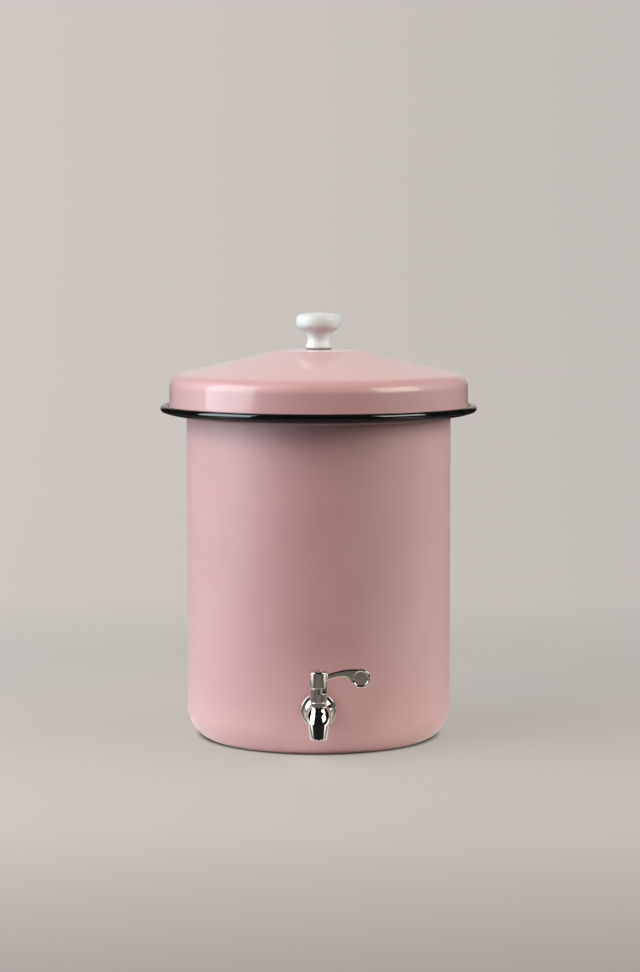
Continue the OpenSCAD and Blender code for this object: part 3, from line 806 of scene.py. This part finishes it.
def casting(p):
    """The tap's casting as a distance field: barrel, elbow, spout and valve boss, with its water way."""
    across, s, z = p[:, 0], -p[:, 1] - BODY_R, p[:, 2]
    plane = np.column_stack([s, z])

    # The nearest point of the centre line: level, then round the elbow, then down the spout
    from_c = plane - ELBOW_C
    down = np.clip((plane - ELBOW_END) @ SPOUT_DIR, 0, None)
    angle = np.clip(np.arctan2(from_c[:, 0], from_c[:, 1]), 0, ELBOW_TURN)
    angle = np.where((from_c[:, 1] < 0) & (from_c[:, 0] < 0), ELBOW_TURN, angle)
    down = np.where(angle >= ELBOW_TURN, down, 0)
    level = angle <= 0
    near = ELBOW_C + ELBOW_BEND * np.column_stack([np.sin(angle), np.cos(angle)])
    near += down[:, None] * SPOUT_DIR
    on_barrel = np.column_stack([np.minimum(s, ELBOW_START), np.full(len(s), TAP_Z)])
    near = np.where(level[:, None], on_barrel, near)

    # The spout turns from round across its axis to round across the level mouth
    flare = 1 + (1 / SPOUT_DIR[1] ** 2 - 1) / 2 * np.clip(down / SPOUT_L, 0, 1)
    away = np.hypot(np.hypot(s - near[:, 0], z - near[:, 1]) * flare, across)
    run = ELBOW_BEND * angle + down
    taper = np.clip((run - TAPER_LEAD) / (ELBOW_LEN + SPOUT_L - TAPER_LEAD), 0, PAST_MOUTH)
    radius = SPOUT_R + (ELBOW_RADIUS - SPOUT_R) * (1 - taper ** TAPER_POWER)
    t = np.clip((s - BARREL_S) / (ELBOW_START - BARREL_S), 0, 1)
    swell = BARREL_R + (ELBOW_RADIUS - BARREL_R) * t * t * (3 - 2 * t)
    made = away - np.where(level, swell, radius)

    local = p + [0, BODY_R + REACH, 0]
    boss = column(local, COLLAR_R - BOSS_STEP, TAP_Z, BOSS_TOP, EASE)
    made = blend_in(made, boss, BOSS_FILLET)
    from_mouth = plane - MOUTH
    made = cut_by(made, from_mouth[:, 1], MOUTH_EASE)
    made = np.maximum(made, BARREL_S - BARREL_LAP - s)

    # The water way widens towards the mouth
    past = from_mouth @ SPOUT_DIR
    off_axis = np.hypot(from_mouth[:, 0] * SPOUT_DIR[1] - from_mouth[:, 1] * SPOUT_DIR[0], across)
    bore = PORT_R + (SPOUT_R - MOUTH_WALL - PORT_R) * np.clip(1 + past / PORT_FLARE_L, 0, PAST_MOUTH)
    made = cut_by(made, np.maximum(off_axis - bore, -past - PORT_L), MOUTH_BORE_EASE)
    return cut_by(made, column(local, WELL_R, TAP_Z - WELL_DROP, BOSS_TOP + PAST, 0), EASE)


def arm_corners():
    """The lever arm's outline in the plane through the valve and the pad, from the cap's foot."""
    crest = np.array([PAD_X - ARM_LEAD, PAD_Z + PAD_R - ARM_CREST])
    knee = np.array([PAD_X - PAD_R - ARM_FILLET, PAD_Z + PAD_R - ARM_H])
    crest_a = math.degrees(math.acos(-(crest[0] - ARM_ROOT) / ARM_CREST))
    hollow = knee - [0, ARM_BELLY]
    hollow_a = math.degrees(math.acos(-(knee[0] - ARM_ROOT) / ARM_BELLY))
    return outline(
        arc(crest, ARM_CREST, ARM_CREST, crest_a, 90, 16),
        (PAD_X, PAD_Z),
        arc(knee - [0, ARM_FILLET], ARM_FILLET, ARM_FILLET, 0, 90, 12),
        arc(hollow, ARM_BELLY, ARM_BELLY, 90, hollow_a, 16),
    )


ARM = arm_corners()


def lever(p):
    """Cap, arm and thumb pad as a distance field about the valve's axis, from the cap's foot."""
    plane = p[:, [0, 2]]
    pad = np.hypot(plane[:, 0] - PAD_X, plane[:, 1] - PAD_Z) - PAD_R
    flat = blend_in(polygon_distance(plane, ARM), pad, PAD_FILLET)
    edge, face = flat + ARM_EASE, abs(p[:, 1]) - ARM_T / 2 + ARM_EASE
    outside = np.hypot(np.maximum(edge, 0), np.maximum(face, 0))
    arm = outside + np.minimum(np.maximum(edge, face), 0) - ARM_EASE
    side = np.hypot(p[:, 0], p[:, 1])
    bevel = (side - CAP_R + p[:, 2] - CAP_H + CAP_BEVEL) / math.sqrt(2)
    cap = cut_by(column(p, CAP_R, 0, CAP_H, CAP_EASE), -bevel, EASE)
    made = blend_in(cap, arm, CAP_FILLET)
    dish = np.maximum(pad + DISH_EDGE, ARM_T / 2 - DISH_H - abs(p[:, 1]))
    made = cut_by(made, dish, CUT_EASE)
    made = cut_by(made, column(p, SCREW_HOLE_R, SCREW_SEAT_Z - CAP_Z, CAP_H + PAST, 0), CUT_EASE)
    made = cut_by(made, column(p, SCREW_CLEARANCE_R, -PAST, CAP_H, 0), FINE_EASE)
    socket = np.maximum(np.maximum(abs(p[:, 0]), abs(p[:, 1])) - SOCKET_HALF, p[:, 2] - SOCKET_H)
    return cut_by(made, socket, FINE_EASE)


def lever_screw(p):
    """The slotted cheese-head screw of the lever, about the valve's axis."""
    head = column(p, SCREW_HEAD_R, SCREW_SEAT_Z, screw_hi[2], SCREW_HEAD_EASE)
    shaft = column(p, SCREW_R, screw_lo[2], SCREW_SEAT_Z + SCREW_LAP, FINE_EASE)
    slot = np.maximum(abs(p[:, 1]) - SCREW_SLOT_HALF, screw_hi[2] - SCREW_SLOT_H - p[:, 2])
    return cut_by(blend_in(head, shaft, JOIN), slot, SCREW_SLOT_EASE)


def valve_collar(p):
    """The collar with its quarter-turn stop slot, about the valve's axis."""
    made = column(p, COLLAR_R, BOSS_TOP, COLLAR_TOP, EASE)
    spigot = column(p, COLLAR_SPIGOT_R, collar_lo[2], BOSS_TOP + COLLAR_LAP, JOIN)
    bore = column(p, COLLAR_BORE_R, collar_lo[2] - PAST, COLLAR_TOP + PAST, 0)
    made = cut_by(blend_in(made, spigot, JOIN), bore, COLLAR_BORE_EASE)
    sector = np.maximum(-p[:, 0], p[:, 1])
    lane_x = np.maximum(abs(p[:, 1]) - SLOT_HALF, -p[:, 0])
    lane_y = np.maximum(abs(p[:, 0]) - SLOT_HALF, p[:, 1])
    swept = np.minimum(sector, np.minimum(lane_x, lane_y))
    slot = np.maximum(swept, COLLAR_TOP - SLOT_H - p[:, 2])
    return cut_by(made, slot, SLOT_EASE)


def tap_casting():
    """The casting, from its distance field in a box with a little room round the piece."""
    low = np.array([-ELBOW_RADIUS, -BODY_R - MOUTH[0] - SPOUT_R, MOUTH[1]]) - CASTING_ROOM[0]
    high = np.array([ELBOW_RADIUS, -BODY_R - BARREL_S, BOSS_TOP]) + CASTING_ROOM[1]
    return surface(casting, low, high, CASTING_CELL)


def valve_piece(field, low, high, cell, lift=0.0):
    """A piece on the valve's axis, from its distance field in a box from low to high."""
    points, faces = surface(field, low, high, cell)
    return on_valve(points + [0, 0, lift]), faces


def around(r, low, high):
    """The corners of a box about the valve's axis."""
    return (-r, -r, low), (r, r, high)


add("receptacle_shell", receptacle(), "base", "pink_enamel", ["receptacle"], "pink_satin")
add("rim_bead_ring", rim_bead(under=False), "base", "black_enamel", ["rim_bead"])
add("rim_bead_underside", rim_bead(under=True), "base", "black_enamel", ["rim_bead"], "dull_enamel")
add("clay_pot", filter_pot(), "pot", "fired_clay", ["filter_pot"])
add("lid_cover", lid_shell(), "lid", "pink_enamel", ["lid_shell"], "pink_gloss")
add("knob", lid_knob(), "lid", "white_glaze", ["lid_knob"])
add("knob_seal", knob_gasket(), "lid", "black_rubber", ["knob_gasket"], "rubber_painted_light")
add("flange", tap_flange(), "base", "polished_steel", ["tap_flange"], crease=40)
add("shank_thread", tap_shank(), "base", "plain_steel", ["tap_body"])
add("nut", shank_nut(), "base", "plain_steel", ["shank_nut"], crease=20)
add("washer", inner_washer(), "base", "plain_steel", ["inner_washer"])
add("tap_casting", tap_casting(), "base", "polished_steel", ["tap_body"], crease=60)

collar_box = around(COLLAR_BOX_R, collar_lo[2] - ROOM, COLLAR_TOP + ROOM)
lever_box = ((-LEVER_BOX_R, -LEVER_BOX_R, LEVER_BOX_FOOT),
             (PAD_X + PAD_R + ROOM, LEVER_BOX_R, PAD_Z + PAD_R + ROOM))
screw_box = around(SCREW_BOX_R, screw_lo[2] - SCREW_ROOM[0], screw_hi[2] + SCREW_ROOM[1])
collar = valve_piece(valve_collar, *collar_box, COLLAR_CELL)
handle = valve_piece(lever, *lever_box, LEVER_CELL, lift=CAP_Z)
screw = valve_piece(lever_screw, *screw_box, SCREW_CELL)
add("collar", collar, "base", "satin_steel", ["valve_collar"], crease=60)
add("handle", handle, "tap_lever", "satin_steel", ["lever"], crease=60)
add("handle_screw", screw, "tap_lever", "satin_steel", ["lever_screw"], crease=60)

# The other CAD nodes are shown as they are, with a material of their own
carried = {
    "knob_insert": "insert_brass", "knob_washer": "plain_steel", "knob_screw": "plain_steel",
    "outer_gasket": "black_rubber", "inner_gasket": "black_rubber", "valve_plug": "plain_steel",
    "upper_ring": "black_rubber", "lower_ring": "black_rubber", "thrust_washer": "white_plastic",
    "stop_pin": "plain_steel",
}
for node, finish in carried.items():
    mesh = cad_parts[node].data
    mesh.materials.clear()
    mesh.materials.append(finishes[finish])


# ----------------------------------------------------------------------- stage
# Lengths are in metres from here on.

FLOOR_R = 1.05
SWEEP_R = 0.75
SWEEP_TOP = 4.2
SWEEP_SIDES = 96
BEIGE = (0.575, 0.535, 0.505)
LIT_BEIGE = (0.65, 0.55, 0.52)
FLOOR_WHITE = (0.83, 0.81, 0.79)
WORLD_LIGHT = 0.03
WORLD_SEEN = 1.0
LAMPS_AIM_Z = 0.2


def backdrop():
    """A pale floor that sweeps up into a wall all round. Its outside can't be seen."""
    path = outline(
        (FLOOR_R / 2, 0),
        arc((FLOOR_R, SWEEP_R), SWEEP_R, SWEEP_R, -90, 0, 24),
        (FLOOR_R + SWEEP_R, SWEEP_TOP),
    )
    disc = list(range(SWEEP_SIDES))
    walls = [face[::-1] for face in net_faces(len(path), SWEEP_SIDES, closed=False)]
    mesh = bpy.data.meshes.new("backdrop")
    mesh.from_pydata(net_points(path, SWEEP_SIDES).tolist(), [], walls + [disc])
    mesh.shade_smooth()
    thing = bpy.data.objects.new("backdrop", mesh)
    bpy.context.scene.collection.objects.link(thing)
    mesh.materials.append(backdrop_material())


def backdrop_material():
    """Beige to the camera, and clear from outside. Reflections see it bright only behind the object."""
    material = bpy.data.materials.new("backdrop")
    material.use_nodes = True
    tree = material.node_tree
    tree.nodes.clear()

    def node(kind, **inputs):
        """A node with its inputs set by name, or by number where the key is i and a number."""
        made = tree.nodes.new(kind)
        for key, value in inputs.items():
            socket = made.inputs[int(key[1:])] if key[0] == "i" else made.inputs[key]
            if isinstance(value, bpy.types.NodeSocket):
                tree.links.new(value, socket)
            else:
                socket.default_value = value
        return made

    def ramp(value, start, end, low=0.0, high=1.0):
        return node("ShaderNodeMapRange", i0=value, i1=start, i2=end, i3=low, i4=high).outputs[0]

    def product(first, second):
        made = node("ShaderNodeMath", i0=first, i1=second)
        made.operation = "MULTIPLY"
        return made.outputs[0]

    def shade(colour, amount):
        made = node("ShaderNodeVectorMath", i0=colour)
        made.operation = "SCALE"
        tree.links.new(amount, made.inputs["Scale"])
        return made.outputs[0]

    def blend(fac, first, second):
        return node("ShaderNodeMixShader", i0=fac, i1=first, i2=second).outputs[0]

    place = node("ShaderNodeTexCoord").outputs["Object"]
    at = node("ShaderNodeSeparateXYZ", Vector=place).outputs
    distance = node("ShaderNodeVectorMath", i0=place)
    distance.operation = "LENGTH"
    away = distance.outputs["Value"]

    # What reflections and bounced light see: a pale floor with a painted pool of light,
    # bright near the object and darker away from it, and a wall that shines only far behind it
    painted_light_pool = product(ramp(away, start=0.18, end=0.34, low=1.0, high=0.14),
                     ramp(away, start=0.40, end=0.90, low=1.0, high=0.15))
    floor = node("ShaderNodeBsdfDiffuse", Color=shade(FLOOR_WHITE, painted_light_pool)).outputs[0]
    behind = ramp(at["Y"], start=1.50, end=1.70, low=0.02, high=1.0)
    wall = node("ShaderNodeEmission", Color=(*BEIGE, 1), Strength=behind).outputs[0]
    raised = ramp(at["Z"], start=0.05, end=0.35)
    bounce = blend(raised, floor, wall)

    # What the camera sees: beige with painted light falloff, darker to the right and to the front and a
    # little darker on the floor than on the wall, and a painted contact shadow that is black under the flat
    # of the base
    # Painted light falloff: the beige is made darker to the right, to the front and on the floor
    to_right = ramp(at["X"], start=-0.6, end=0.6, low=1.09, high=0.93)
    to_front = ramp(at["Y"], start=-0.95, end=-0.45, low=0.73, high=1.0)
    to_wall = ramp(at["Y"], start=0.5, end=1.0, low=0.87, high=1.0)
    # Painted contact shadow: black within 117 mm of the centre, where the base's flat ends, fading out over
    # the next 10 mm
    painted_contact_shadow = ramp(away, start=0.117, end=0.127, low=0.0, high=1.0)
    painted_light_and_shadow = product(product(to_right, to_front), product(to_wall, painted_contact_shadow))
    lit = node("ShaderNodeBsdfDiffuse", Color=shade(LIT_BEIGE, painted_light_and_shadow)).outputs[0]
    glow = node("ShaderNodeEmission", Color=shade(BEIGE, painted_light_and_shadow)).outputs[0]

    # The lamps light this floor in part, most near the object, and it glows for the rest
    lit_share = product(ramp(at["Y"], start=0.1, end=0.9, low=0.4, high=0.03),
                        ramp(at["Z"], start=0.0, end=0.3, low=1.0, high=0.0))
    shown = blend(lit_share, glow, lit)

    camera_ray = node("ShaderNodeLightPath").outputs["Is Camera Ray"]
    clear = node("ShaderNodeBsdfTransparent").outputs[0]
    outside = node("ShaderNodeNewGeometry").outputs["Backfacing"]
    inside = blend(camera_ray, bounce, shown)
    node("ShaderNodeOutputMaterial", Surface=blend(outside, inside, clear))
    return material


def lamp(name, azimuth, elevation, distance, width, height, radiance, colour,
         roll=0, upright=False, glossy=True, diffuse=True):
    """An area lamp towards the object, or level if it is upright. Azimuth is to the right of the camera."""
    data = bpy.data.lights.new(name, "AREA")
    data.shape = "RECTANGLE"
    data.size, data.size_y = width, height
    data.energy = radiance * math.pi * width * height
    data.color = colour
    thing = bpy.data.objects.new(name, data)
    bpy.context.scene.collection.objects.link(thing)
    a, e = math.radians(azimuth), math.radians(elevation)
    toward = Vector((math.sin(a) * math.cos(e), -math.cos(a) * math.cos(e), math.sin(e)))
    thing.location = Vector((0, 0, LAMPS_AIM_Z)) + distance * toward
    if upright:
        toward.z = 0
    turn = toward.to_track_quat("Z", "Y") @ Quaternion((0, 0, 1), math.radians(roll))
    thing.rotation_euler = turn.to_euler()
    thing.visible_camera = False
    thing.visible_glossy = glossy
    thing.visible_diffuse = diffuse


backdrop()

# Two softboxes with reflections, three washes without, and three low cards that only reflect
lamp("key", azimuth=-72, elevation=31, distance=1.75, width=1.24, height=1.8,
     radiance=4.5, colour=(0.84, 0.945, 1.0), roll=6, upright=True)
lamp("strip", azimuth=63, elevation=29, distance=1.5, width=0.92, height=0.72,
     radiance=4.8, colour=(1.0, 0.96, 0.86))
lamp("soft_left", azimuth=-40, elevation=50, distance=1.6, width=0.9, height=0.9,
     radiance=4.8, colour=(1.0, 0.82, 0.75), glossy=False)
lamp("left_wash", azimuth=-108, elevation=20, distance=1.6, width=1.2, height=1.2,
     radiance=3.2, colour=(0.65, 1.0, 1.0), glossy=False)
lamp("right_wash", azimuth=98, elevation=25, distance=1.6, width=1.2, height=1.2,
     radiance=3.8, colour=(0.82, 1.0, 0.97), glossy=False)
lamp("left_card", azimuth=-88, elevation=-18, distance=0.52, width=0.75, height=0.09,
     radiance=1.3, colour=(1.0, 0.97, 0.94), upright=True, diffuse=False)
lamp("right_card", azimuth=88, elevation=-18, distance=0.52, width=0.75, height=0.09,
     radiance=1.4, colour=(1.0, 0.97, 0.94), upright=True, diffuse=False)
lamp("front_card", azimuth=0, elevation=-19.8, distance=0.53, width=0.5, height=0.04,
     radiance=0.1, colour=(1.0, 0.95, 0.90), upright=True, diffuse=False)

# The world is dim to everything but the camera
world = bpy.data.worlds.new("studio")
bpy.context.scene.world = world
world.use_nodes = True
background = world.node_tree.nodes["Background"]
background.inputs["Color"].default_value = (*BEIGE, 1)
seen = world.node_tree.nodes.new("ShaderNodeMapRange")
seen.inputs["To Min"].default_value = WORLD_LIGHT
seen.inputs["To Max"].default_value = WORLD_SEEN
rays = world.node_tree.nodes.new("ShaderNodeLightPath")
world.node_tree.links.new(rays.outputs["Is Camera Ray"], seen.inputs["Value"])
world.node_tree.links.new(seen.outputs["Result"], background.inputs["Strength"])


# ---------------------------------------------------------------------- camera

# Fitted to the photograph: the place in mm, the pitch in degrees downwards
CAMERA_AT = (1.4, -2651.0, 500.3)
CAMERA_PITCH = 5.27
FOCAL_PX = 2594.0
LONG_SIDE_PX = 972
SENSOR = 36.0

camera_data = bpy.data.cameras.new("camera")
camera_data.sensor_width = SENSOR
camera_data.lens = FOCAL_PX * SENSOR / LONG_SIDE_PX
camera = bpy.data.objects.new("camera", camera_data)
bpy.context.scene.collection.objects.link(camera)
camera.location = [v * MM for v in CAMERA_AT]
camera.rotation_euler = (math.radians(90 - CAMERA_PITCH), 0, 0)
bpy.context.scene.camera = camera
bpy.context.scene.view_settings.view_transform = "Standard"
